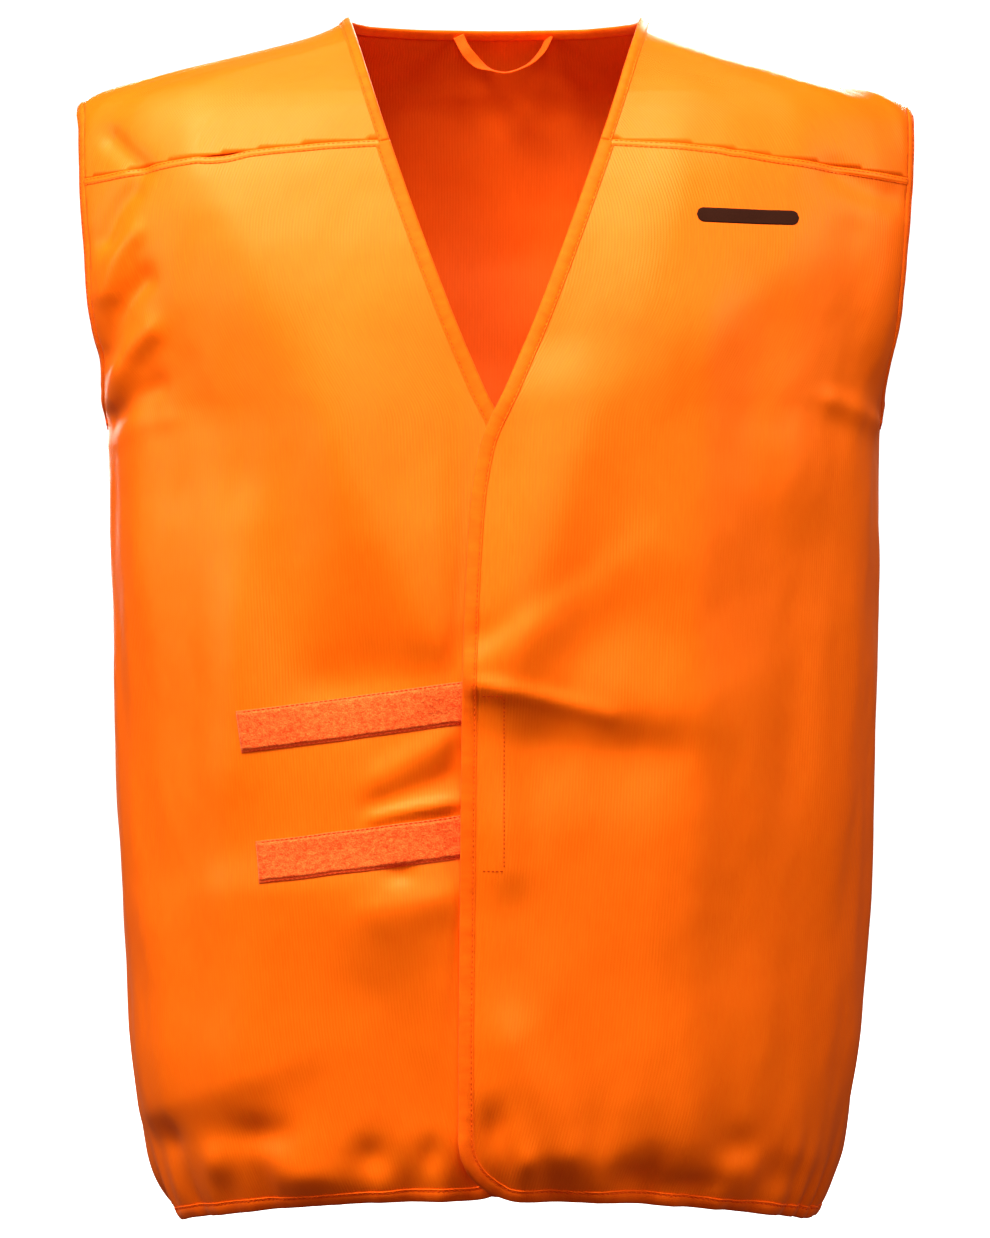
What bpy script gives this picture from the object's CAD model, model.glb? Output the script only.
"""Blaze orange overlap vest: cloth panels, bindings, tapes and stitches round the CAD frame.

The body form and the edge lines repeat the CAD part's own dimensions, in millimetres,
and every mesh is scaled to metres as it is made. Angles round the body are in degrees:
0 is the centre front, 90 the wearer's left side, 180 the centre back.
"""

import math

import bmesh
import bpy
import numpy as np
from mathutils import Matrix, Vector
from mathutils.geometry import delaunay_2d_cdt
from mathutils.kdtree import KDTree


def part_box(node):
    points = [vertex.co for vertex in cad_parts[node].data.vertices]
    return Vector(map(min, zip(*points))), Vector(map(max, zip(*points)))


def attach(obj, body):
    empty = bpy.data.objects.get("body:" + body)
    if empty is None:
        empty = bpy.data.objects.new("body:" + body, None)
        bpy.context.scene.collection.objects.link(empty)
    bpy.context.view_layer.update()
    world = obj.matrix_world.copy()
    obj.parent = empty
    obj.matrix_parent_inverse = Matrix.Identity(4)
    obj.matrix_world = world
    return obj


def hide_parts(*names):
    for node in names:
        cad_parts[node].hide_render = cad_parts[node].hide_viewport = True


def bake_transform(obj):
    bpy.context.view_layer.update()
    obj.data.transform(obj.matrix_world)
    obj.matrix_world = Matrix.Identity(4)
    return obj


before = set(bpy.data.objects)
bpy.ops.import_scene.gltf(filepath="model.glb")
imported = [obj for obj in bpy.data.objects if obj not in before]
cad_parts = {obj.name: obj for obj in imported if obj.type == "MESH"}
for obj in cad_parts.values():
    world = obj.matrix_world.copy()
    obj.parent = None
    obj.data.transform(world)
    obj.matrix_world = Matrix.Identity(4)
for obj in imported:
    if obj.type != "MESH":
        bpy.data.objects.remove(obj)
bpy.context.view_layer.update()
MM = 0.001

# Body form: half width, front depth and back depth at each height
HALF_WIDTH = [
    (6, 85), (0, 90.5), (-5, 97), (-12, 112), (-24.5, 157), (-39, 213), (-50.5, 248),
    (-58, 258), (-70, 264), (-90, 266), (-120, 266), (-150, 263.5), (-180, 258),
    (-200, 252.5), (-220, 246), (-235, 241), (-247, 237.3), (-258, 236.4), (-338, 236.2),
    (-404, 235), (-468, 232.8), (-568, 227.5), (-620, 224), (-655, 219.5), (-695, 213.5),
    (-729, 208), (-750, 204.5),
]
FRONT_DEPTH = [
    (6, 51.5), (0, 55), (-12, 62), (-30, 75), (-54, 90), (-84, 103), (-110, 113),
    (-150, 125), (-200, 134), (-250, 140), (-330, 145), (-450, 146), (-600, 144), (-750, 140),
]
BACK_DEPTH = [
    (6, 57), (0, 62), (-12, 72), (-30, 84), (-54, 95), (-84, 103), (-110, 108),
    (-150, 112), (-200, 112), (-300, 102), (-400, 96), (-500, 98), (-600, 104), (-750, 112),
]
SQUARENESS = 2.4
SIDE_SEAM_Y = 10.0
CLOTH = 1.0

# Edge lines in the front view
FRONT_EDGE = [
    (98, 20), (90.2, 0), (65, -79), (28, -182.6), (8.4, -230), (-8.5, -268.6),
    (-14.5, -308), (-18.5, -400), (-20, -520), (-21, -640), (-21, -676),
]
CORNER_RADIUS = 38.0
HEM = [(17, -714), (70, -715.5), (125, -720.5), (192, -733), (204, -737.5), (300, -741)]
BACK_HEM = -737.0
YOKE_SEAM = [(0, -82), (71, -84.5), (130, -89), (176, -95), (208, -98), (240, -102), (310, -109)]
ARMHOLE = [
    (251.5, 20), (251.5, -56), (250.6, -80), (249.2, -107), (245.6, -153), (242.4, -193),
    (240.4, -210), (238.8, -228), (237.0, -247), (236.4, -250),
]

# Stretches of the yoke seams that hang open: the slit on the right, a small gap on the left
SLIT_X = (148.0, 176.0)
SLIT_OPENING = 1.7
SMALL_SLIT_X = (136.0, 146.0)
SMALL_SLIT_OPENING = 0.5

# Overlap of the left front: how far it stands off, and where that starts and fades out
OVERLAP_LIFT = 5.0
LIFT_TOP = (200.0, 243.0)
LIFT_FADE = (24.0, 120.0)

# Mesh spacing, and the flat width that stands for one degree round the body
CELL = 3.0
EDGE_STEP = 2.0
DEGREE = 3.6


# ------------ form

class Curve:
    """Monotone smooth curve through (key, value) pairs, in increasing or decreasing key."""

    def __init__(self, pairs):
        pairs = sorted(pairs)
        self.k = np.array([p[0] for p in pairs], float)
        self.v = np.array([p[1] for p in pairs], float)
        secant = np.diff(self.v) / np.diff(self.k)
        slope = np.concatenate([secant[:1], np.zeros(len(secant) - 1), secant[-1:]])
        for i in range(1, len(secant)):
            before, after = secant[i - 1], secant[i]
            if before * after > 0:
                slope[i] = 2 * before * after / (before + after)
        self.s = slope

    def __call__(self, key):
        key = np.asarray(key, float)
        i = np.clip(np.searchsorted(self.k, key) - 1, 0, len(self.k) - 2)
        h = self.k[i + 1] - self.k[i]
        t = (key - self.k[i]) / h
        start = (1 + 2 * t) * (1 - t) ** 2 * self.v[i] + t * (1 - t) ** 2 * h * self.s[i]
        end = t * t * (3 - 2 * t) * self.v[i + 1] + t * t * (t - 1) * h * self.s[i + 1]
        return start + end


half_width = Curve(HALF_WIDTH)
front_depth = Curve(FRONT_DEPTH)
back_depth = Curve(BACK_DEPTH)
edge_x = Curve([(z, x) for x, z in FRONT_EDGE])
hem_z = Curve(HEM)
yoke_z = Curve(YOKE_SEAM)
armhole_x = Curve([(z, x) for x, z in ARMHOLE])


def ease(value, low, high):
    """0 at low and 1 at high, smooth between."""
    t = np.clip((np.asarray(value, float) - low) / (high - low), 0, 1)
    return t * t * (3 - 2 * t)


def girth_angle(x, z):
    """Angle in the front quarter, 0 to 90, at a front-view position; the sign follows x."""
    share = np.clip(np.abs(x) / half_width(z), 0, 1 - 1e-9) ** SQUARENESS
    return np.sign(x) * np.degrees(np.arctan((share / (1 - share)) ** (1 / SQUARENESS)))


def lift(x, z):
    """How far the left front stands off the form where it overlaps."""
    return OVERLAP_LIFT * (1 - ease(x, *LIFT_FADE)) * ease(-z, *LIFT_TOP)


def form(angle, z):
    """Points on the smooth body form, without folds."""
    turn = np.radians(angle)
    across, forward = np.sin(turn), np.cos(turn)
    depth = np.where(forward > 0, front_depth(z), back_depth(z))
    size = (np.abs(across) ** SQUARENESS + np.abs(forward) ** SQUARENESS) ** (-1 / SQUARENESS)
    x = half_width(z) * across * size
    y = SIDE_SEAM_Y - depth * forward * size
    y = y - np.where(np.asarray(angle) < 90, lift(x, z), 0)
    return np.stack([x, y, np.broadcast_to(z, x.shape)], -1)


DROP_HEIGHTS = np.linspace(6, -750, 1513)


def drop_table():
    """Length down the shoulder and side to each of the heights."""
    lean = np.gradient(half_width(DROP_HEIGHTS), DROP_HEIGHTS)
    step = np.abs(np.gradient(DROP_HEIGHTS)) * np.sqrt(1 + lean ** 2)
    return np.cumsum(step) - step[0]


DROPS = drop_table()


def drop(z):
    """Length down the shoulder and side to height z."""
    return np.interp(-np.asarray(z, float), -DROP_HEIGHTS, DROPS)


def height_at(length):
    """Height at a length down the shoulder and side."""
    return np.interp(length, DROPS, DROP_HEIGHTS)


# ------------ folds

def gradient_noise(x, y, seed):
    """Smooth noise from about -1 to 1 with one bump per unit."""
    table = np.random.default_rng(seed).uniform(0, 2 * math.pi, (64, 64))
    x0, y0 = np.floor(x).astype(int), np.floor(y).astype(int)
    fx, fy = x - x0, y - y0

    def corner(i, j):
        angle = table[(x0 + i) % 64, (y0 + j) % 64]
        return np.cos(angle) * (fx - i) + np.sin(angle) * (fy - j)

    sx, sy = fx ** 3 * (fx * (6 * fx - 15) + 10), fy ** 3 * (fy * (6 * fy - 15) + 10)
    top = corner(0, 0) * (1 - sx) + corner(1, 0) * sx
    bottom = corner(0, 1) * (1 - sx) + corner(1, 1) * sx
    return 1.6 * (top * (1 - sy) + bottom * sy)


def crease(x, z, start, end, heights, reaches, bow=0.0):
    """Ridge (or valley, where heights are negative) along a line in the front view.

    heights are at the start and the end; reaches are how far it spreads to the left and
    to the right of the way from start to end; bow bends the line to the right at its middle.
    """
    ax, az = start
    bx, bz = end
    length = math.hypot(bx - ax, bz - az)
    ux, uz = (bx - ax) / length, (bz - az) / length
    along = (x - ax) * ux + (z - az) * uz
    to_right = (x - ax) * uz - (z - az) * ux
    t = np.clip(along / length, 0, 1)
    to_right = to_right - bow * 4 * t * (1 - t)
    reach = np.where(to_right < 0, reaches[0], reaches[1])
    past = np.maximum(np.maximum(-along, along - length), 0)
    height = heights[0] + (heights[1] - heights[0]) * t
    return height * np.exp(-(to_right / reach) ** 2 - (past / (reaches[0] + reaches[1]) * 1.6) ** 2)


def dent(x, z, centre, height, size_x, size_z):
    """Round bump or hollow in the front view."""
    dx, dz = (x - centre[0]) / size_x, (z - centre[1]) / size_z
    return height * np.exp(-dx * dx - dz * dz)


# Folds in the front view: start, end, (height at each), (reach to the left and right), bow.
# The back's folds are seen from the front, through the vest.
LEFT_CREASES = [
    ((104, -136), (15, -368), (6, 9), (30, 40), 3),
    ((-8, -398), (84, -334), (4.6, 1.6), (14, 22), -3),
    ((-4, -380), (52, -344), (-2.4, -0.8), (10, 10), 0),
    ((-8, -409), (66, -426), (3.4, 1.4), (5, 6), -1),
    ((22, -414), (92, -422), (3.6, 3.8), (28, 20), -2),
    ((38, -446), (84, -450), (-3.2, -4.4), (18, 34), 2),
    ((160, -166), (118, -214), (2.6, 3.4), (20, 30), 2),
    ((118, -206), (106, -650), (8, 7), (24, 50), 0),
    ((52, -520), (60, -690), (-3, -3.6), (26, 22), 0),
    ((178, -330), (186, -690), (-4, -4), (26, 24), 0),
    ((206, -100), (236, -114), (-2.4, -2.4), (8, 10), 2),
    ((216, -140), (224, -224), (-1.8, -1.8), (10, 13), 3),
    ((204, -240), (234, -250), (2.6, 2.6), (7, 8), 0),
    ((14, -620), (52, -690), (3.6, 3.6), (16, 16), 0),
    ((0, -500), (4, -640), (2, 2), (20, 14), 0),
    ((4, -418), (6, -514), (3, 3.6), (13, 18), 0),
]
RIGHT_CREASES = [
    ((-154, -132), (-34, -378), (6, 9), (50, 28), 0),
    ((-190, -230), (-100, -400), (-4, -5), (34, 34), 0),
    ((-96, -408), (-22, -398), (-2.4, -3.6), (20, 14), 0),
    ((-151, -320), (-153, -456), (2.8, 2.8), (16, 24), 0),
    ((-70, -487), (-18, -478), (2.4, 3.6), (5, 3.5), -1),
    ((-66, -462), (-20, -436), (2.2, 3.6), (9, 10), 0),
    ((-72, -480), (-24, -462), (-1.4, -1.8), (7, 8), 0),
    ((-66, -540), (-18, -532), (2.2, 2.6), (8, 16), 0),
    ((-128, -534), (-40, -530), (4.6, 4), (20, 64), 0),
    ((-206, -664), (-150, -640), (5, 4), (56, 18), 0),
    ((-70, -600), (-44, -664), (-3, -4), (26, 34), 0),
    ((-232, -79), (-212, -98), (-3.6, -3.6), (6, 8), 0),
    ((-218, -114), (-234, -140), (-3.8, -3.8), (7, 8), 2),
    ((-216, -140), (-234, -172), (3.2, 3.2), (7, 8), 3),
    ((-212, -168), (-233, -208), (-4, -4), (8, 8), 4),
    ((-208, -198), (-232, -236), (3.6, 3.6), (8, 8), 4),
    ((-206, -232), (-234, -250), (-1.8, -1.8), (7, 8), 2),
    ((-200, -250), (-234, -262), (1.2, 1.2), (8, 8), 2),
    ((-196, -300), (-200, -520), (-3.6, -3.6), (24, 22), 0),
]
# Bumps and hollows in the front view: centre, height, half width, half height
LEFT_DENTS = [
    ((44, -688), 3.2, 15, 12), ((146, -684), -4.4, 12, 12), ((118, -706), -3.6, 20, 8),
    ((-2, -672), -4.2, 9, 15), ((84, -700), -3.4, 13, 9), ((180, -706), -3.4, 12, 12),
    ((20, -690), 3, 8, 10),
]
RIGHT_DENTS = [
    ((-197, -684), -4.6, 9, 13), ((-140, -676), -4.4, 20, 11), ((-74, -688), -4, 10, 12),
    ((-38, -686), -3.6, 8, 12), ((-112, -702), 3, 14, 10), ((-168, -696), 3.2, 9, 12),
    ((-56, -520), -3, 9, 6),
]
BACK_CREASES = [
    ((-70, -90), (-40, -260), (2.4, 3.6), (30, 36), 8),
    ((76, -96), (44, -270), (-2.2, -3.4), (36, 30), -8),
    ((0, -300), (10, -660), (3.4, 3.4), (36, 40), 8),
    ((-110, -320), (-120, -690), (-3.4, -3.4), (34, 32), 0),
    ((112, -300), (124, -690), (-3.6, -3.6), (32, 34), 0),
    ((60, -380), (64, -700), (2.6, 2.6), (24, 28), 0),
    ((-60, -400), (-54, -700), (2.2, 2.2), (26, 26), 0),
    ((-180, -240), (-190, -680), (3.2, 3.2), (24, 30), 0),
    ((182, -250), (192, -680), (3, 3), (28, 26), 0),
    ((-200, -150), (-226, -240), (-3, -3), (14, 14), 5),
    ((202, -160), (228, -240), (-3, -3), (14, 14), -5),
    ((-30, -30), (30, -34), (-1.4, -1.4), (12, 14), 0),
]

# Slack all over the cloth: height, width round the body, length down it, shift of each, seed
SLACK = [(2.4, 62, 150, 9, 5, 11), (1.1, 30, 74, 3, 0, 12), (0.16, 13, 22, 0, 0, 13)]
# Puckers at the hem: height, reach up from the hem, width, length, seed
HEM_PUCKERS = [(6.0, 38, 25, 60, 21), (0.7, 13, 10, 40, 22)]
# The hem turns in by the curl over the last stretch above it
HEM_CURL = 13.0
HEM_TURN = 44.0
# Across this strip the right front takes over the folds of the left one, which lies on it
HIDDEN_STRIP = (-34.0, -8.0)


def fold_depth(angle, z):
    """How far the cloth stands off the form at each place."""
    x = form(angle, z)[..., 0]
    forward = np.cos(np.radians(angle))
    around, down = angle * DEGREE, drop(z)
    depth = sum(
        height * gradient_noise(around / width + shift, down / length + shift_down, seed)
        for height, width, length, shift, shift_down, seed in SLACK
    )
    depth = depth * (ease(-z, 6, 70) * 0.8 + 0.2)
    front, back = ease(forward, 0.02, 0.3), ease(-forward, 0.02, 0.3)
    as_left = np.where(angle < 180, 1.0, ease(x, *HIDDEN_STRIP))
    for share, creases, dents in (
        (front * as_left, LEFT_CREASES, LEFT_DENTS),
        (front * (1 - as_left), RIGHT_CREASES, RIGHT_DENTS),
        (back, BACK_CREASES, []),
    ):
        for line in creases:
            depth = depth + share * crease(x, z, *line)
        for spot in dents:
            depth = depth + share * dent(x, z, *spot)
    hem = np.where(forward > 0, hem_z(np.abs(x)), BACK_HEM)
    depth = depth - HEM_CURL * np.clip((hem + HEM_TURN - z) / HEM_TURN, 0, 1.2) ** 2
    for height, reach, width, length, seed in HEM_PUCKERS:
        near = np.exp(-((z - hem) / reach) ** 2)
        depth = depth + near * height * gradient_noise(around / width, z / length, seed)
    return depth


def unit(vectors):
    """The same directions with length 1."""
    return vectors / np.linalg.norm(vectors, axis=-1, keepdims=True)


def form_normal(angle, z):
    """Outward direction of the smooth form."""
    da, dz = 0.05, 0.1
    round_way = form(angle + da, z) - form(angle - da, z)
    down_way = form(angle, z - dz) - form(angle, z + dz)
    return unit(np.cross(down_way, round_way))


def surface(angle, z):
    """Points on the folded cloth's outer face."""
    angle, z = np.asarray(angle, float), np.asarray(z, float)
    return form(angle, z) + form_normal(angle, z) * fold_depth(angle, z)[..., None]


def surface_frame(angle, z):
    """Point, outward normal and the two ways along the cloth, per degree and per mm of height."""
    da, dz = 0.12, 0.35
    point = surface(angle, z)
    round_way = (surface(angle + da, z) - surface(angle - da, z)) / (2 * da)
    up_way = (surface(angle, z + dz) - surface(angle, z - dz)) / (2 * dz)
    return point, unit(np.cross(round_way, up_way)), round_way, up_way


def steps_along(round_way, up_way, way):
    """The change of (angle, height) that moves along the cloth by way, a 3-D step in mm."""
    rr, ru, uu = (np.sum(a * b, -1) for a, b in (
        (round_way, round_way), (round_way, up_way), (up_way, up_way)))
    wr, wu = np.sum(way * round_way, -1), np.sum(way * up_way, -1)
    det = rr * uu - ru * ru
    return (wr * uu - wu * ru) / det, (wu * rr - wr * ru) / det


# ------------ meshes

def make_object(name, points, faces, uvs=None, materials=(), face_materials=None):
    """A smooth-shaded mesh object from points in mm, with texture places in mm."""
    mesh = bpy.data.meshes.new(name)
    mesh.from_pydata((np.asarray(points) * MM).tolist(), [], [list(f) for f in faces])
    for material in materials:
        mesh.materials.append(material)
    if uvs is not None:
        layer = mesh.uv_layers.new(name="cloth")
        corners = np.zeros(len(mesh.loops), int)
        mesh.loops.foreach_get("vertex_index", corners)
        layer.data.foreach_set("uv", (np.asarray(uvs)[corners] * MM).ravel())
    if face_materials is not None:
        mesh.polygons.foreach_set("material_index", face_materials)
    mesh.polygons.foreach_set("use_smooth", [True] * len(mesh.polygons))
    mesh.validate()
    piece = bpy.data.objects.new(name, mesh)
    bpy.context.scene.collection.objects.link(piece)
    return piece


def walked(points):
    """Length along a line up to each of its points."""
    return np.concatenate([[0], np.cumsum(np.linalg.norm(np.diff(points, axis=0), axis=1))])


def to_flat(path):
    """(angle, height) places as (width, length) positions on the flat cloth."""
    path = np.asarray(path, float)
    return np.stack([path[:, 0] * DEGREE, drop(path[:, 1])], -1)


def from_flat(flat):
    """The reverse of to_flat."""
    return np.stack([flat[:, 0] / DEGREE, height_at(flat[:, 1])], -1)


def even_path(path, step=EDGE_STEP):
    """A path of (angle, height) places spaced evenly along the cloth."""
    path = np.asarray(path, float)
    total = walked(form(path[:, 0], path[:, 1]))
    places = np.linspace(0, total[-1], max(int(round(total[-1] / step)), 1) + 1)
    return np.stack([np.interp(places, total, path[:, i]) for i in (0, 1)], -1)


def grid_inside(outline, spacing):
    """Grid points inside a closed outline, clear of its edge by about half the spacing."""
    low, high = outline.min(0), outline.max(0)
    x0, y0 = outline.T
    x1, y1 = np.roll(outline, -1, axis=0).T
    columns = np.arange(low[0] + spacing / 2, high[0], spacing)
    found = []
    for y in np.arange(low[1] + spacing / 2, high[1], spacing):
        hit = (y0 > y) != (y1 > y)
        crossings = np.sort(x0[hit] + (y - y0[hit]) * (x1[hit] - x0[hit]) / (y1[hit] - y0[hit]))
        for left, right in crossings.reshape(-1, 2):
            row = columns[(columns > left) & (columns < right)]
            found.append(np.stack([row, np.full(len(row), y)], -1))
    tree = KDTree(len(outline))
    for i, (x, y) in enumerate(outline.tolist()):
        tree.insert((x, y, 0), i)
    tree.balance()
    points = np.concatenate(found)
    clear = [tree.find((x, y, 0))[2] > 0.55 * spacing for x, y in points.tolist()]
    return points[np.array(clear)]


GIRTH_START = -40
GIRTH_ROW = 9.0


def girth_table():
    """A function for the length round the form from the centre back at (angle, height)."""
    angles = np.arange(GIRTH_START, 401, 1.0)
    heights = np.arange(0, -756, -GIRTH_ROW)
    grid = form(angles[None, :], heights[:, None])
    steps = np.linalg.norm(np.diff(grid, axis=1), axis=-1)
    lengths = np.concatenate([np.zeros((len(heights), 1)), np.cumsum(steps, axis=1)], axis=1)
    centre_back = 180 - GIRTH_START
    lengths = lengths - lengths[:, centre_back:centre_back + 1]

    def look_up(angle, z):
        a = np.clip(np.asarray(angle) - GIRTH_START, 0, len(angles) - 1.001)
        h = np.clip(-np.asarray(z) / GIRTH_ROW, 0, len(heights) - 1.001)
        i, j = a.astype(int), h.astype(int)
        fa, fh = a - i, h - j
        top = lengths[j, i] * (1 - fa) + lengths[j, i + 1] * fa
        bottom = lengths[j + 1, i] * (1 - fa) + lengths[j + 1, i + 1] * fa
        return top * (1 - fh) + bottom * fh

    return look_up


girth_length = girth_table()


def cloth_panel(name, outline, materials):
    """One sheet of cloth inside a closed outline of (angle, height) places."""
    edge = to_flat(outline)
    points = np.concatenate([edge, grid_inside(edge, CELL)])
    count = len(edge)
    rim = [(i, (i + 1) % count) for i in range(count)]
    vertices, _, faces, *_ = delaunay_2d_cdt([Vector(p) for p in points.tolist()], rim, [], 1, 1e-5)
    flat = np.array([tuple(v) for v in vertices])
    places = from_flat(flat)
    spots = surface(places[:, 0], places[:, 1])
    uvs = np.stack([girth_length(places[:, 0], places[:, 1]), -flat[:, 1]], -1)
    a, b, c = (np.array([flat[f[i]] for f in faces]) for i in range(3))
    area = np.cross(b - a, c - a)
    faces = [f[::-1] if way > 0 else f for f, way in zip(faces, area)]
    panel = make_object(name, spots, faces, uvs, materials)
    solid = panel.modifiers.new("thickness", "SOLIDIFY")
    solid.thickness = CLOTH * MM
    solid.material_offset = 1
    return panel


def tube_faces(rings, sides, first=0, closed=False):
    """Faces of a tube whose points come ring by ring, with a cap on each end if it is open."""
    faces = []
    for k in range(rings if closed else rings - 1):
        a, b = first + k * sides, first + (k + 1) % rings * sides
        for s in range(sides):
            t = (s + 1) % sides
            faces.append((a + s, a + t, b + t, b + s))
    if not closed:
        last = first + (rings - 1) * sides
        faces.append(tuple(range(first, first + sides))[::-1])
        faces.append(tuple(range(last, last + sides)))
    return faces


def fix_normals(piece):
    """Turns all faces of a closed piece outwards."""
    mesh = bmesh.new()
    mesh.from_mesh(piece.data)
    bmesh.ops.recalc_face_normals(mesh, faces=mesh.faces)
    mesh.to_mesh(piece.data)
    mesh.free()
    return piece


def edge_points(path, inward, closed=False):
    """Points along a path, and a function for the points and normals further into the cloth.

    inward is 1 where the cloth lies to the left of the path as seen from outside.
    """
    spots, normals, round_way, up_way = surface_frame(path[:, 0], path[:, 1])
    if closed:
        along = np.roll(spots, -1, axis=0) - np.roll(spots, 1, axis=0)
    else:
        along = np.gradient(spots, axis=0)
    into = unit(np.cross(normals, unit(along)) * inward)

    def further_in(distance):
        turned, raised = steps_along(round_way, up_way, into * distance)
        return surface_frame(path[:, 0] + turned, path[:, 1] + raised)[:2]

    return spots, further_in


def strip(name, path, profile, materials, inward, closed, rough, seed):
    """Closed band along an edge: profile is a ring of (distance into the cloth, height off it)."""
    path = even_path(path)
    if closed:
        path = path[:-1]
    spots, further_in = edge_points(path, inward, closed)
    lengths = walked(spots)
    rings, marks = [], []
    girth = 0.0
    for i, (distance, height) in enumerate(profile):
        if i:
            girth += math.dist(profile[i - 1], profile[i])
        layer = np.full(len(path), i * 0.31)
        wave = gradient_noise(lengths / 9.0, layer, seed + 5)
        fine = gradient_noise(lengths / 3.4, layer, seed + 6)
        outward = 1 if height > -CLOTH / 2 else -1
        point, normal = further_in(distance)
        level = height + rough * (wave + 0.6 * fine) * outward
        rings.append(point + normal * level[:, None])
        marks.append(np.stack([np.full(len(path), girth), lengths], -1))
    faces = tube_faces(len(path), len(profile), closed=closed)
    if inward < 0:
        faces = [face[::-1] for face in faces]
    points, uvs = np.stack(rings, 1).reshape(-1, 3), np.stack(marks, 1).reshape(-1, 2)
    return fix_normals(make_object(name, points, faces, uvs, materials))


# Sections along one stitch: share of its length, share of its radius, rise
STITCH_SECTIONS = [
    (-0.5, 0.35, -0.3), (-0.36, 0.9, 0.02), (0, 1, 0.14), (0.36, 0.9, 0.02), (0.5, 0.35, -0.3),
]
STITCH_SIDES = 6


def stitches(name, path, inset, height, material, inward=1, pitch=3.1, length=2.2, radius=0.24, seed=1):
    """A row of thread stitches lying in the cloth along a path, inset into the cloth."""
    rng = np.random.default_rng(seed)
    path = even_path(path, 1.2)
    line, normals = edge_points(path, inward)[1](inset)
    lengths = walked(line)
    shares, sizes, rises = np.array(STITCH_SECTIONS).T
    points, faces = [], []
    centres = np.arange(pitch, lengths[-1] - pitch / 2, pitch)
    centres = centres + rng.uniform(-0.15, 0.15, len(centres))
    for centre in centres:
        places = centre + shares * length
        spot = np.stack([np.interp(places, lengths, line[:, i]) for i in range(3)], -1)
        up = np.stack([np.interp(places, lengths, normals[:, i]) for i in range(3)], -1)
        side = np.cross(up[len(up) // 2], spot[-1] - spot[0])
        side = side / np.linalg.norm(side)
        tube = tube_faces(len(shares), STITCH_SIDES, len(points))
        faces += [face[:1] + face[:0:-1] for face in tube]
        for k, (size, rise) in enumerate(zip(sizes, rises)):
            for s in range(STITCH_SIDES):
                turn = 2 * math.pi * s / STITCH_SIDES
                ring = side * math.cos(turn) + up[k] * math.sin(turn) * 0.8
                points.append(spot[k] + up[k] * (height + rise) + ring * radius * size)
    return make_object(name, points, faces, None, [material])


def front_places(x, z, side=1):
    """(angle, height) places on the left (1) or right (-1) front at front-view positions."""
    x, z = np.broadcast_arrays(np.asarray(x, float), z)
    angle = girth_angle(x, z)
    return np.stack([angle if side > 0 else 360 + angle, z], -1)


def mirrored(path):
    """The same places on the wearer's right."""
    path = np.array(path, float)
    path[:, 0] = 360 - path[:, 0]
    return path


# ------------ materials

# Fluorescent cloth gives back a little red light of its own
DAY_GLOW = (1.0, 0.02, 0.0)
GLOW = 0.06


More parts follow.
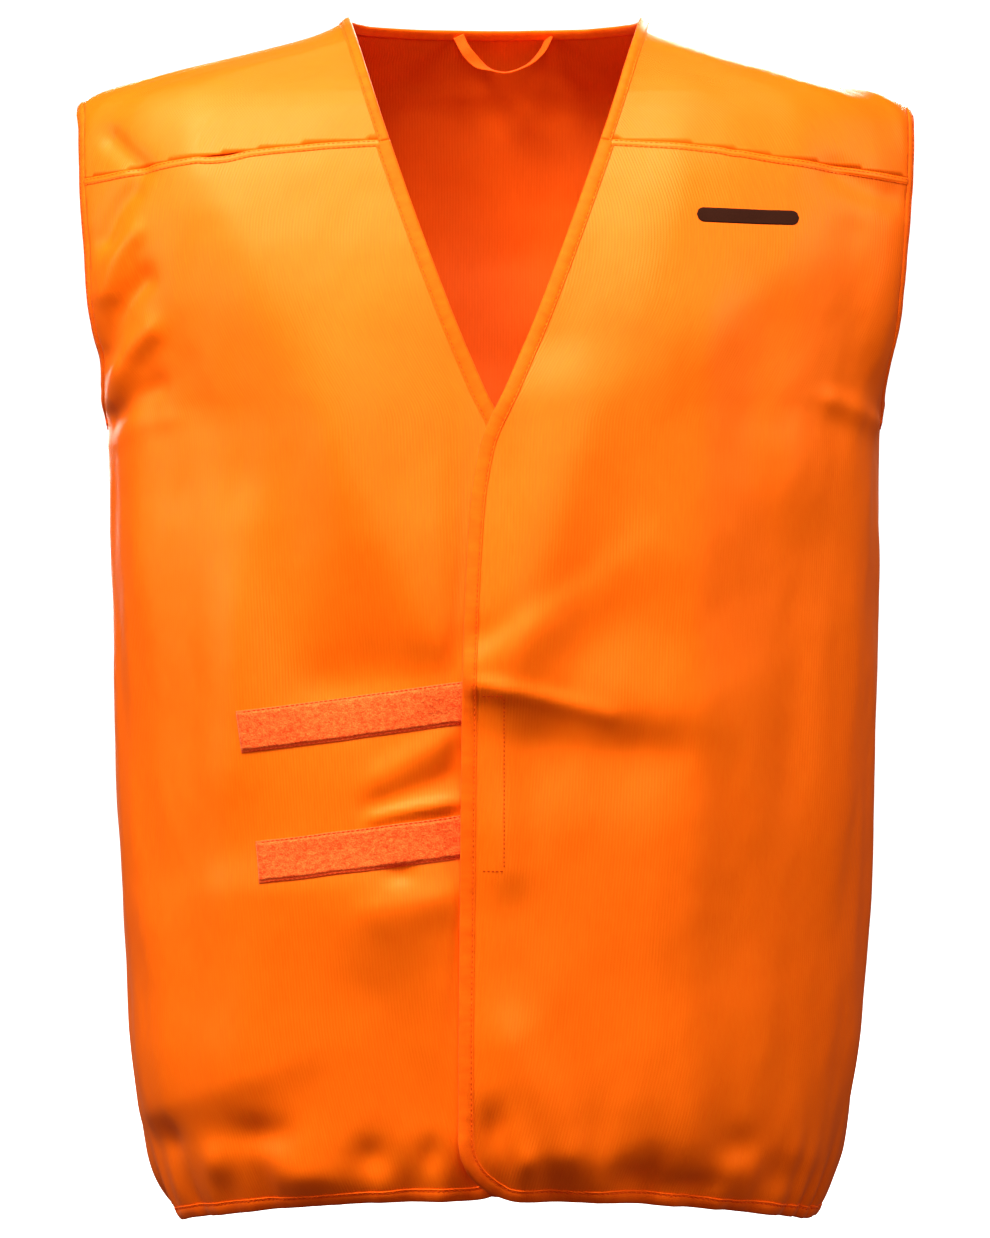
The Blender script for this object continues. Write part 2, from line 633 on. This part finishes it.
class Nodes:
    """Short way to build a material's node tree."""

    def __init__(self, name, roughness=0.7, sheen=0.0, sheen_tint=(1, 1, 1), shine=0.3, glow=0.0):
        self.material = bpy.data.materials.new(name)
        self.material.use_nodes = True
        self.tree = self.material.node_tree
        self.shader = self.tree.nodes["Principled BSDF"]
        settings = {
            "Roughness": roughness, "Specular IOR Level": shine, "Specular Tint": (1.0, 0.66, 0.30),
            "Sheen Weight": sheen, "Sheen Roughness": 0.45, "Sheen Tint": sheen_tint,
            "Emission Color": DAY_GLOW, "Emission Strength": glow,
        }
        for key, value in settings.items():
            self.feed(self.shader, key, value)

    def add(self, kind, inputs=(), **settings):
        """A new node with its settings and inputs, each a value or another node's output."""
        node = self.tree.nodes.new(kind)
        for key, value in settings.items():
            setattr(node, key, value)
        for key, value in dict(inputs).items():
            self.feed(node, key, value)
        return node

    def feed(self, node, key, value):
        """Links an output, or sets a value, to one input."""
        if isinstance(value, bpy.types.NodeSocket):
            self.tree.links.new(value, node.inputs[key])
        elif isinstance(value, tuple) and len(value) == 3 and node.inputs[key].type == "RGBA":
            node.inputs[key].default_value = (*value, 1)
        else:
            node.inputs[key].default_value = value

    def math(self, operation, a, b=0.0):
        return self.add("ShaderNodeMath", {0: a, 1: b}, operation=operation).outputs[0]

    def total(self, *parts):
        """Sum of (value, weight) pairs."""
        terms = [value if weight == 1 else self.math("MULTIPLY", value, weight) for value, weight in parts]
        result = terms[0]
        for term in terms[1:]:
            result = self.math("ADD", result, term)
        return result

    def cloth_uv(self):
        """The flat cloth's coordinates in metres: both together, across and along."""
        uv = self.add("ShaderNodeUVMap", uv_map="cloth").outputs[0]
        parts = self.add("ShaderNodeSeparateXYZ", {0: uv})
        return uv, parts.outputs[0], parts.outputs[1]

    def place(self):
        return self.add("ShaderNodeTexCoord").outputs["Object"]

    def waves(self, along, pitch, shift=0.0):
        """Sine of a coordinate in metres, with one wave per pitch in mm."""
        turns = self.math("MULTIPLY", along, 2 * math.pi / (pitch * MM))
        return self.math("SINE", self.math("ADD", turns, shift))

    def noise(self, vector, size, detail=2.0, roughness=0.5, stretch=None):
        """Noise whose bumps are size mm wide; stretch scales its coordinates first."""
        if stretch:
            vector = self.add("ShaderNodeMapping", {0: vector, 3: stretch}).outputs[0]
        return self.add("ShaderNodeTexNoise", {
            "Vector": vector, "Scale": 1 / (size * MM), "Detail": detail, "Roughness": roughness,
        }).outputs["Fac"]

    def mix(self, share, a, b):
        """Colour a where share is 0 and b where it is 1."""
        node = self.add("ShaderNodeMix", data_type="RGBA")
        for key, value in ((0, share), (6, a), (7, b)):
            self.feed(node, key, value)
        return node.outputs[2]

    def ramp(self, value, low, high):
        """0 up to low and 1 from high, smooth between."""
        return self.add("ShaderNodeMapRange", {
            0: value, 1: low, 2: high, 3: 0.0, 4: 1.0,
        }, interpolation_type="SMOOTHSTEP").outputs[0]

    def finish(self, color, height, depth, roughness=None):
        """Joins colour, a bump of the given depth in mm and roughness to the shader."""
        self.feed(self.shader, "Base Color", color)
        bump = self.add("ShaderNodeBump", {"Height": height, "Distance": depth * MM, "Strength": 1.0})
        self.feed(self.shader, "Normal", bump.outputs[0])
        if roughness is not None:
            self.feed(self.shader, "Roughness", roughness)
        return self.material


def cloth_material(name, color, deep):
    """Fine ribbed polyester: upright ribs crossed by short bars."""
    n = Nodes(name, 0.5, 0.05, (1.0, 0.72, 0.45), 0.62, GLOW)
    uv, u, v = n.cloth_uv()
    wavy = n.total((u, 1), (n.noise(uv, 60), 0.0016))
    broken = n.math("MULTIPLY", n.waves(v, 1.1), n.waves(wavy, 1.8, 1.57))
    weave = n.total((n.waves(wavy, 1.8), 0.5), (broken, 0.21))
    slub = n.noise(uv, 1.4, 3, 0.6, (1.0, 0.12, 1.0))
    tone = n.total((weave, 0.10), (slub, 0.55), (n.noise(n.place(), 90, 3), 0.35))
    base = n.mix(n.ramp(tone, 0.15, 0.85), deep, color)
    rough = n.math("ADD", n.math("MULTIPLY", slub, 0.2), 0.36)
    return n.finish(base, n.total((weave, 1), (slub, 1.1)), 0.06, rough)


def binding_material(name, color, deep):
    """Folded woven binding: fine cross grain under a twill, a little puckered."""
    n = Nodes(name, 0.6, 0.15, (1.0, 0.7, 0.4), 0.3, GLOW)
    uv, u, v = n.cloth_uv()
    twill = n.waves(n.math("ADD", u, v), 1.3)
    fuzz = n.noise(uv, 0.7, 3, 0.6)
    pucker = n.noise(uv, 5, stretch=(0.3, 1.0, 1.0))
    base = n.mix(n.ramp(n.total((fuzz, 0.5), (pucker, 0.6)), 0.25, 0.85), deep, color)
    return n.finish(base, n.total((n.waves(v, 0.9), 0.35), (twill, 0.2), (fuzz, 1)), 0.05)


def pile_material(name, color, deep):
    """Fuzzy brushed loops."""
    n = Nodes(name, 0.9, 0.4, (1.0, 0.7, 0.45), 0.2, GLOW)
    spot = n.place()
    cells = n.add("ShaderNodeTexVoronoi", {"Vector": spot, "Scale": 1 / (1.1 * MM)}).outputs["Distance"]
    curls = n.noise(spot, 0.8, 4, 0.7)
    tone = n.total((curls, 0.75), (n.noise(spot, 3.2), 0.5), (cells, -0.25))
    base = n.mix(n.ramp(tone, 0.25, 0.75), deep, color)
    return n.finish(base, n.total((cells, -0.7), (curls, 1)), 0.35)


def plain_weave(name, color, deep, pitch=0.9, roughness=0.7, sheen=0.2, depth=0.06, glow=GLOW):
    """Narrow woven tape or thread with a fine grain."""
    n = Nodes(name, roughness, sheen, (1.0, 0.7, 0.5), 0.3, glow)
    spot = n.place()
    x, _, z = n.add("ShaderNodeSeparateXYZ", {0: spot}).outputs
    across = n.waves(n.math("ADD", x, z), pitch)
    fuzz = n.noise(spot, 0.6, 3, 0.6)
    base = n.mix(n.ramp(n.total((fuzz, 1), (across, 0.15)), 0.3, 0.7), deep, color)
    return n.finish(base, n.total((across, 0.4), (fuzz, 1)), depth)


cloth = cloth_material("cloth", (1.0, 0.190, 0.0015), (0.93, 0.146, 0.001))
lining = cloth_material("cloth_inside", (0.80, 0.124, 0.003), (0.73, 0.097, 0.002))
binding = binding_material("binding", (1.0, 0.165, 0.003), (0.86, 0.115, 0.001))
thread = plain_weave("thread", (0.95, 0.13, 0.004), (0.7, 0.06, 0.001), 0.5, 0.5, 0.1, 0.04)
sunk_thread = plain_weave("sunk_thread", (0.72, 0.045, 0.001), (0.45, 0.02, 0.0005), 0.5, 0.7, 0.0, 0.04)
pile = pile_material("loop_pile", (1.0, 0.21, 0.045), (0.80, 0.07, 0.012))
selvage = plain_weave("tape_selvage", (0.98, 0.17, 0.04), (0.8, 0.085, 0.015), 0.8)
hooks = plain_weave("hook_tape", (0.95, 0.14, 0.02), (0.72, 0.07, 0.008), 0.7, 0.45, 0.0)
ink = plain_weave("print_ink", (0.045, 0.008, 0.006), (0.025, 0.004, 0.003), 0.9, 0.75, 0.0, 0.03, 0.0)
ribbon = plain_weave("loop_ribbon", (0.98, 0.13, 0.003), (0.8, 0.075, 0.001), 1.0, 0.6, 0.2, 0.12)


# ------------ edge lines

def settle(function, value):
    """The value that function leaves as it is, from a first guess."""
    for _ in range(12):
        value = function(value)
    return value


def bisect(function, low, high):
    """Where the function changes sign between low and high."""
    for _ in range(50):
        middle = (low + high) / 2
        if (function(middle) > 0) == (function(low) > 0):
            low = middle
        else:
            high = middle
    return (low + high) / 2


def along_height(line, angles):
    """Places at the given angles on a front-view line z = line(x)."""
    z = settle(lambda z: line(np.abs(form(angles, z)[:, 0])), np.full(len(angles), float(line(100))))
    return np.stack([angles, z], -1)


yoke_inner_z = settle(lambda z: float(yoke_z(edge_x(z))), -84.0)
yoke_outer_z = settle(lambda z: float(yoke_z(armhole_x(z))), -103.0)
tip_z = bisect(lambda z: float(half_width(z) - armhole_x(z)), -40.0, -62.0)
ARM_FLOOR = ARMHOLE[-1][1]
ARM_DIP = 1.4


def edge_angle(z):
    """Angle of the front edge, and of the neckline above it, at a height."""
    return girth_angle(edge_x(z), np.asarray(z, float))


def armhole_front(top, bottom):
    """Front half of an armhole between two heights, with more places near its top."""
    z = top + (bottom - top) * np.linspace(0, 1, 160) ** 2
    return np.stack([girth_angle(armhole_x(z), z), z], -1)


def edge_line(top, bottom, count=200):
    """The front edge between two heights."""
    z = np.linspace(top, bottom, count)
    return np.stack([edge_angle(z), z], -1)


def corner_line():
    """The round lower corner of the left front."""
    x, z = FRONT_EDGE[-1]
    turns = np.linspace(math.pi, 1.5 * math.pi, 30)
    return front_places(x + CORNER_RADIUS * (1 + np.cos(turns)), z + CORNER_RADIUS * np.sin(turns))


front_hem = along_height(hem_z, np.linspace(girth_angle(*HEM[0]), 90, 120))
side_hem_z = front_hem[-1, 1]
yoke_ends = float(edge_angle(yoke_inner_z)), float(girth_angle(armhole_x(yoke_outer_z), yoke_outer_z))
yoke_line = along_height(yoke_z, np.linspace(*yoke_ends, 100))
arm_front_low = armhole_front(tip_z, ARM_FLOOR)
arm_angle = arm_front_low[-1, 0]


def arm_bottom(first, last):
    """The armhole's lowest stretch, across the side seam."""
    angles = np.linspace(first, last, 16)
    share = (angles - 90) / (90 - arm_angle)
    return np.stack([angles, ARM_FLOOR - ARM_DIP * (1 - share ** 2)], -1)


front_edge_line = np.concatenate([
    edge_line(yoke_inner_z, FRONT_EDGE[-1][1]), corner_line()[1:], front_hem[1:],
])
arm_bottom_front = arm_bottom(arm_angle, 90)
arm_below_yoke = arm_front_low[arm_front_low[:, 1] < yoke_outer_z - 0.3]
arm_above_yoke = arm_front_low[arm_front_low[:, 1] > yoke_outer_z + 0.3]
side_seam = np.array([(90, side_hem_z), (90, ARM_FLOOR - ARM_DIP)])


def front_outline(seam):
    """Closed outline of a front panel, given its yoke seam from the neck to the armhole."""
    return np.concatenate([even_path(part)[:-1] for part in (
        front_edge_line, even_path(side_seam), arm_bottom_front[::-1], arm_below_yoke[::-1], seam[::-1],
    )])


def with_slit(seam, first, last, depth):
    """The yoke seam with a shallow opening hanging open between two front-view positions."""
    seam = even_path(seam, 1.0)
    x = form(seam[:, 0], seam[:, 1])[:, 0]
    share = np.clip((x - first) / (last - first), 0, 1)
    seam[:, 1] -= depth * np.sin(math.pi * share) ** 0.8
    return seam


left_outline = front_outline(with_slit(yoke_line, *SMALL_SLIT_X, SMALL_SLIT_OPENING))
right_outline = mirrored(front_outline(with_slit(yoke_line, *SLIT_X, SLIT_OPENING)))

arm_back = np.array(arm_front_low)
arm_back[:, 0] = 180 - arm_back[:, 0]
arm_bottom_back = arm_bottom(90, 180 - arm_angle)
half_loop = np.concatenate([even_path(part)[:-1] for part in (
    edge_line(0, yoke_inner_z, 60), yoke_line, arm_above_yoke[::-1], arm_back, arm_bottom_back[::-1],
    side_seam[::-1],
)])
back_hem_angles = np.linspace(90, 270, 200)
hem_drop = (BACK_HEM - side_hem_z) * (1 - ease(np.abs(back_hem_angles - 180), 60, 90))
back_hem_line = np.stack([back_hem_angles, side_hem_z + hem_drop], -1)
neck_angle = float(edge_angle(0.0))
neck_line = np.stack([np.linspace(360 - neck_angle, neck_angle, 160), np.zeros(160)], -1)
back_outline = np.concatenate([
    half_loop, even_path(back_hem_line)[:-1], mirrored(half_loop)[::-1], even_path(neck_line)[1:-1],
])


# ------------ trims

def binding_ring(width):
    """Section of a folded binding: (distance into the cloth, height off it)."""
    return [
        (width, -0.1), (width + 0.05, 0.34), (width - 0.35, 0.6), (width - 0.9, 0.42),
        (width - 1.3, 0.33), (width - 1.75, 0.5), (width - 2.5, 0.8), (width * 0.45, 0.98),
        (1.4, 0.9), (0.4, 0.62), (-0.35, 0.12), (-0.6, -0.5), (-0.35, -1.12), (0.4, -1.5),
        (width * 0.4, -1.75), (width - 1.3, -1.55), (width - 0.3, -1.6), (width, -1.1),
    ]


def seam_ring(width):
    """Section of a lapped seam that lies on the cloth below a joining line."""
    return [
        (-0.5, -0.3), (-0.3, 0.12), (0.25, 0.34), (0.7, 0.30), (1.2, 0.48), (width * 0.5, 0.52),
        (width - 1.2, 0.44), (width - 0.8, 0.28), (width - 0.3, 0.26), (width + 0.1, -0.1), (width, -0.4),
    ]


EDGE_BINDING = 8.5
HEM_BINDING = 8.0
NECK_BINDING = 6.2
ARM_BINDING = 6.0
SEAM_WIDTH = 4.4
STITCH_INSET = 1.3


def bound_edge(name, path, width, inward, seed, closed=False):
    """A folded binding along a path and the row of stitches that holds it."""
    band = strip(name, path, binding_ring(width), [binding], inward, closed, 0.10, seed)
    row = stitches(name + "_stitches", path, width - STITCH_INSET, 0.45, thread, inward, seed=seed + 1)
    return band, row


def with_front(piece):
    """Lets a piece bend with the left (1) or right (-1) front about its fold line."""
    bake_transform(piece)


# ------------ tapes, print, loop

TAPE_WIDTH = 25.0
TAPE_SLANT = 7.7
TAPE_INNER_X = 7.0
# Outer end of each tape (x, z) and the seed of its pile
TAPES = {"upper": (-150.0, -437.0, 100), "lower": (-139.5, -514.0, 110)}
PILE_EDGE = 11.15
HOOK_X = (-18.5, 6.5)
HOOK_Z = (-519.0, -414.0)
HOOK_PITCH = (1.5, 1.9)


def slab(name, places_x, places_z, heights, bottom, side, materials, face_materials=None):
    """Closed slab on a front: a grid of front-view positions with a height at each."""
    rows, columns = places_x.shape
    uvs = np.stack([places_x.ravel(), places_z.ravel()], -1)
    spots, normals, _, _ = surface_frame(*front_places(*uvs.T, side).T)
    points = np.concatenate([spots + normals * heights.ravel()[:, None], spots + normals * bottom])
    offset = rows * columns
    faces, marks = [], []
    for i in range(rows - 1):
        for j in range(columns - 1):
            a = i * columns + j
            faces.append((a, a + 1, a + columns + 1, a + columns))
            faces.append((offset + a, offset + a + columns, offset + a + columns + 1, offset + a + 1))
            mark = 0 if face_materials is None else int(face_materials[i])
            marks += [mark, mark]
    grid = np.arange(offset).reshape(rows, columns)
    rim = np.concatenate([grid[0], grid[1:, -1], grid[-1, -2::-1], grid[-2:0:-1, 0]]).tolist()
    for a, b in zip(rim, rim[1:] + rim[:1]):
        faces.append((b, a, offset + a, offset + b))
        marks.append(0)
    return fix_normals(make_object(name, points, faces, np.tile(uvs, (2, 1)), materials, marks))


def loop_tape(name, end_x, end_z, seed):
    """Loop tape with flat woven edges and a raised, brushed middle, and its rows of stitches.

    The tape's outer end is at (end_x, end_z); a and b are lengths along and across it.
    """
    rise = math.radians(TAPE_SLANT)
    length = (TAPE_INNER_X - end_x) / math.cos(rise)

    def placed(a, b):
        x = end_x + a * math.cos(rise) - b * math.sin(rise)
        return x, end_z + a * math.sin(rise) + b * math.cos(rise)

    along = np.linspace(0, length, int(length / 1.1))
    border = TAPE_WIDTH / 2 - np.array([0, 0.4, 1.3, 1.6])
    across = np.concatenate([-border, np.linspace(-10.4, 10.4, 22), border[::-1]])
    a, b = np.meshgrid(along, across)
    x, z = placed(a, b + 0.35 * gradient_noise(a / 26, a * 0 + 0.5, seed + 2))
    fuzz = 0.28 * gradient_noise(a / 1.9, b / 1.7, seed) + 0.18 * gradient_noise(a / 3.9, b / 3.5, seed + 1)
    in_pile = ease(PILE_EDGE - np.abs(b), 0, 0.9) * ease(a, 0, 1.2) * ease(length - a, 0, 1.2)
    heights = np.where(np.abs(b) > 12.3, 0.45, 0.75 + in_pile * (0.95 + fuzz))
    on_border = (np.abs(across[:-1] + across[1:]) / 2 > 11.0).astype(int)
    tape = slab(name, x, z, heights, -0.35, -1, [pile, selvage], on_border)
    sides, end = np.linspace(2, length - 2, 80), np.linspace(-11.4, 11.4, 20)
    lines = ((sides, -11.7, 0.78, seed), (sides, 11.7, 0.78, seed + 1), (1.4, end, 1.0, seed + 5))
    rows = []
    for k, (a, b, height, row_seed) in enumerate(lines):
        row_name, path = f"{name}_stitches_{k + 1}", front_places(*placed(a, b), -1)
        rows.append(stitches(row_name, path, 0, height, sunk_thread, 1, 2.9, 2.1, 0.2, row_seed))
    return tape, rows


# Sections of a hook, from its foot: share of its height, share of its sideways reach
HOOK_SECTIONS = ((0, 0), (0.7, 0), (1.0, 0.5), (0.85, 1.0))
HOOK_CORNERS = ((-0.22, -0.16), (0.22, -0.16), (0.22, 0.16), (-0.22, 0.16))


def hook_strip():
    """Hook tape on the inside of the left front: a stiff base and rows of small hooks."""
    x, z = np.meshgrid(np.linspace(*HOOK_X, 20), np.linspace(HOOK_Z[1], HOOK_Z[0], 60))
    base = slab("hook_tape_base", x, z, np.full(x.shape, -CLOTH + 0.1), -CLOTH - 0.75, 1, [hooks])
    points, faces = [], []
    columns = np.arange(HOOK_X[0] + 2.2, HOOK_X[1] - 2, HOOK_PITCH[0])
    for row, height in enumerate(np.arange(HOOK_Z[0] + 2, HOOK_Z[1] - 1, HOOK_PITCH[1])):
        spots, normals, _, _ = surface_frame(*front_places(columns, height).T)
        bend = 0.55 if row % 2 else -0.55
        for spot, normal in zip(spots, normals):
            faces += tube_faces(len(HOOK_SECTIONS), len(HOOK_CORNERS), len(points))
            for share, reach in HOOK_SECTIONS:
                middle = spot - normal * (CLOTH + 0.6 + share) + np.array([0, 0, bend * reach])
                points += [middle + np.array([dx, 0, dz]) * (1 - 0.25 * reach) for dx, dz in HOOK_CORNERS]
    return base, fix_normals(make_object("hook_tape_hooks", points, faces, None, [hooks]))


def box_stitching():
    """Stitches on the outside of the left front that hold the hook tape."""
    x0, x1 = HOOK_X[0] + 9.6, HOOK_X[1] - 1.2
    z0, z1 = HOOK_Z[0] + 1.3, HOOK_Z[1] - 1.3
    rows = []
    sides = (((x1, z1), (x1, z0)), ((x0, z1), (x1, z1)), ((x0, z0), (x1, z0)))
    for k, (start, end) in enumerate(sides):
        line = np.linspace(start, end, 40)
        row_name, path = f"hook_tape_stitches_{k + 1}", front_places(*line.T)
        rows.append(stitches(row_name, path, 0, 0.05, sunk_thread, 1, 2.6, 1.7, 0.27, 60 + k))
    return rows


def chest_bar():
    """Plain printed bar with rounded ends on the left chest."""
    low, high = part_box("chest_print")
    middle, size = (low + high) / 2 / MM, (high - low) / MM
    radius, reach = size.z / 2 - 0.1, size.x / 2
    dx = np.linspace(-reach, reach, 64)
    past = np.maximum(np.abs(dx) - (reach - radius), 0)
    half = np.sqrt(np.maximum(radius ** 2 - past ** 2, 0.02))
    across = np.linspace(-1, 1, 12)[:, None]
    x = middle.x + dx + 0 * across
    return slab("chest_bar", x, middle.z + across * half, np.full(x.shape, 0.16), -0.1, 1, [ink])


# Route of the hanging loop in the front view
LOOP_PATH = [(-23, -3), (-18, -13), (-8, -22.5), (6, -26.5), (20, -22), (30, -12.5), (34.5, -3)]
LOOP_WIDTH = 7.0
LOOP_THICKNESS = 0.9
LOOP_Y = 68.0


def hanging_ribbon():
    """Narrow tape that leaves the neck binding flat and twists as it hangs."""
    keys = walked(LOOP_PATH)
    x, z = zip(*LOOP_PATH)
    s = np.linspace(0, keys[-1], 90)
    x, z = Curve(list(zip(keys, x)))(s), Curve(list(zip(keys, z)))(s)
    for _ in range(10):
        for line in (x, z):
            line[1:-1] = (line[:-2] + line[2:] + 2 * line[1:-1]) / 4
    share = s / keys[-1]
    middle = np.stack([x, LOOP_Y + 3.0 * ease(z, -15, -3), z], -1)
    along = unit(np.gradient(middle, axis=0))
    flat_side = np.stack([-along[:, 2], np.zeros(len(s)), along[:, 0]], -1)
    twist = np.radians(78 * ease(share, 0.18, 0.42) - 24 * ease(share, 0.62, 0.95))[:, None]
    across = flat_side * np.cos(twist) + np.array([0.0, 1.0, 0.0]) * np.sin(twist)
    normal = np.cross(along, across)
    turns = 2 * math.pi * np.arange(20) / 20
    c, d = np.cos(turns), np.sin(turns)
    ring = np.stack([
        LOOP_WIDTH / 2 * np.sign(c) * np.abs(c) ** 0.35, LOOP_THICKNESS / 2 * np.sign(d) * np.abs(d) ** 0.8,
    ], -1)
    points, uvs = [], []
    for i in range(len(s)):
        for a, b in ring:
            points.append(middle[i] + across[i] * a + normal[i] * b)
            uvs.append((a, s[i]))
    return fix_normals(make_object("hanging_ribbon", points, tube_faces(len(s), len(ring)), uvs, [ribbon]))


# ------------ the vest

def front(side, outline, name):
    """One front: its panel, its bound edge and the lapped yoke seam."""
    turned = np.array if side > 0 else mirrored
    panel = cloth_panel(name + "_panel", outline, [cloth, lining])
    edge, edge_row = bound_edge(name + "_edge_binding", turned(front_edge_line), EDGE_BINDING, side, 31)
    opening = (*SMALL_SLIT_X, SMALL_SLIT_OPENING) if side > 0 else (*SLIT_X, SLIT_OPENING)
    seam_path = turned(with_slit(yoke_line, *opening))
    seam = strip(name + "_yoke_seam", seam_path, seam_ring(SEAM_WIDTH), [cloth], -side, False, 0.05, 41)
    rows = [
        stitches(
            f"{name}_yoke_stitches_{k + 1}", seam_path, inset, 0.32, thread, -side, 3.0, 2.2, 0.2, 50 + k)
        for k, inset in enumerate((0.75, SEAM_WIDTH - 0.65))
    ]
    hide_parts(name + "_flap", name + "_side")
    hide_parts(name + "_binding")
    return panel, [edge, edge_row, seam, *rows]


left_panel, left_pieces = front(1, left_outline, "left_front")
right_panel, right_pieces = front(-1, right_outline, "right_front")

back_panel = cloth_panel("back_cloth", back_outline, [cloth, lining])
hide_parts("back_panel")
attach(back_panel, "vest")

neck_side = edge_line(yoke_inner_z, -1.0, 40)
neck_path = np.concatenate([neck_side, neck_line[::-1][2:-2], mirrored(neck_side)[::-1]])
neck_band, neck_row = bound_edge("neck_edge", neck_path, NECK_BINDING, -1, 71)
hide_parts("neck_binding")
hem_band, hem_row = bound_edge("hem_edge", back_hem_line, HEM_BINDING, 1, 81)
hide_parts("hem_binding")
vest_pieces = [neck_band, neck_row, hem_band, hem_row]

arm_loop = np.concatenate([
    arm_bottom(90, arm_angle)[:-1], arm_front_low[::-1][:-1], arm_back[:-1], arm_bottom(180 - arm_angle, 90),
])
for side, name in ((1, "left"), (-1, "right")):
    path = arm_loop if side > 0 else mirrored(arm_loop)
    band, row = bound_edge(name + "_armhole_edge", path, ARM_BINDING, -side, 91, closed=True)
    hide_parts(name + "_armhole_binding")
    vest_pieces += [band, row]
for piece in vest_pieces:
    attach(piece, "vest")

for name, (end_x, end_z, seed) in TAPES.items():
    tape, rows = loop_tape(name + "_loop_tape", end_x, end_z, seed)
    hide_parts(name + "_loop_tape_flap", name + "_loop_tape_side")
    right_pieces += [tape, *rows]

hook_base, hook_field = hook_strip()
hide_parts("hook_tape")
bar = chest_bar()
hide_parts("chest_print")
left_pieces += [hook_base, hook_field, *box_stitching()]
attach(bar, "vest")

loop = hanging_ribbon()
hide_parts("hanging_loop")
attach(loop, "loop")

# Flat sizes in metres and areas in square metres
for side, panel, pieces in ((1, left_panel, left_pieces), (-1, right_panel, right_pieces)):
    for piece in (panel, *pieces):
        with_front(piece)


# ------------ camera and light

scene = bpy.context.scene
CAMERA_PLACE = (0, -3.0, -0.370)
LENS_MM = 141.85
ROOM_LIGHT = 0.06
FLOOR_Z = -0.86
FLOOR_RADIUS = 9.0
FLOOR_GLOW = 1.0
AIM = (0.0, -0.1, -0.35)
# Disc lamps: name, place, diameter and watts
LAMPS = [
    ("key", (-1.25, -1.2, 1.65), 0.7, 56), ("low_side", (-2.4, -0.9, 0.3), 0.8, 16),
    ("top", (0.1, -1.3, 1.9), 0.9, 48), ("right_side", (2.2, -1.2, 0.8), 0.8, 20),
    ("front", (0.0, -2.8, 0.5), 1.4, 17), ("back_key", (0.8, 2.7, 1.2), 1.0, 120),
    ("back_fill", (-0.8, 2.6, 0.2), 1.2, 50),
]


def pale_floor():
    """Wide pale floor below the vest, which throws no light back up onto it."""
    n = Nodes("pale_floor", 0.95, shine=0.0)
    grain = n.noise(n.place(), 400)
    n.feed(n.shader, "Emission Color", (1.0, 1.0, 1.0))
    n.feed(n.shader, "Emission Strength", FLOOR_GLOW)
    surface_look = n.finish(n.mix(grain, (0.28, 0.28, 0.28), (0.30, 0.30, 0.30)), grain, 0.01)
    turns = np.linspace(0, 2 * math.pi, 65)[:-1]
    ring = np.stack([FLOOR_RADIUS * np.cos(turns), FLOOR_RADIUS * np.sin(turns), 0 * turns + FLOOR_Z], -1)
    floor = make_object("studio_floor", ring / MM, [tuple(range(64))], None, [surface_look])
    floor.visible_diffuse = False
    floor.visible_glossy = False


def area_light(name, place, size, power):
    """A soft disc lamp that points at the vest."""
    light = bpy.data.lights.new(name, "AREA")
    light.shape = "DISK"
    light.size = size
    light.energy = power
    lamp = bpy.data.objects.new(name, light)
    lamp.location = place
    lamp.rotation_euler = (Vector(AIM) - Vector(place)).to_track_quat("-Z", "Y").to_euler()
    scene.collection.objects.link(lamp)


def white_room():
    """A weak even light all round, which the camera sees as white."""
    world = bpy.data.worlds.new("soft_studio")
    world.use_nodes = True
    nodes, links = world.node_tree.nodes, world.node_tree.links
    rays = nodes.new("ShaderNodeLightPath")
    level = nodes.new("ShaderNodeMapRange")
    level.inputs["To Min"].default_value = ROOM_LIGHT
    level.inputs["To Max"].default_value = 1.0
    links.new(rays.outputs["Is Camera Ray"], level.inputs["Value"])
    links.new(level.outputs["Result"], nodes["Background"].inputs["Strength"])
    nodes["Background"].inputs["Color"].default_value = (1, 1, 1, 1)
    scene.world = world


pale_floor()
for lamp in LAMPS:
    area_light(*lamp)
white_room()
scene.view_settings.view_transform = "Standard"
scene.view_settings.look = "Medium High Contrast"

camera_data = bpy.data.cameras.new("camera")
camera_data.lens = LENS_MM
camera_data.sensor_width = 36.0
camera_data.clip_end = 50
camera = bpy.data.objects.new("camera", camera_data)
camera.location = CAMERA_PLACE
camera.rotation_euler = (math.radians(90), 0, 0)
scene.collection.objects.link(camera)
scene.camera = camera
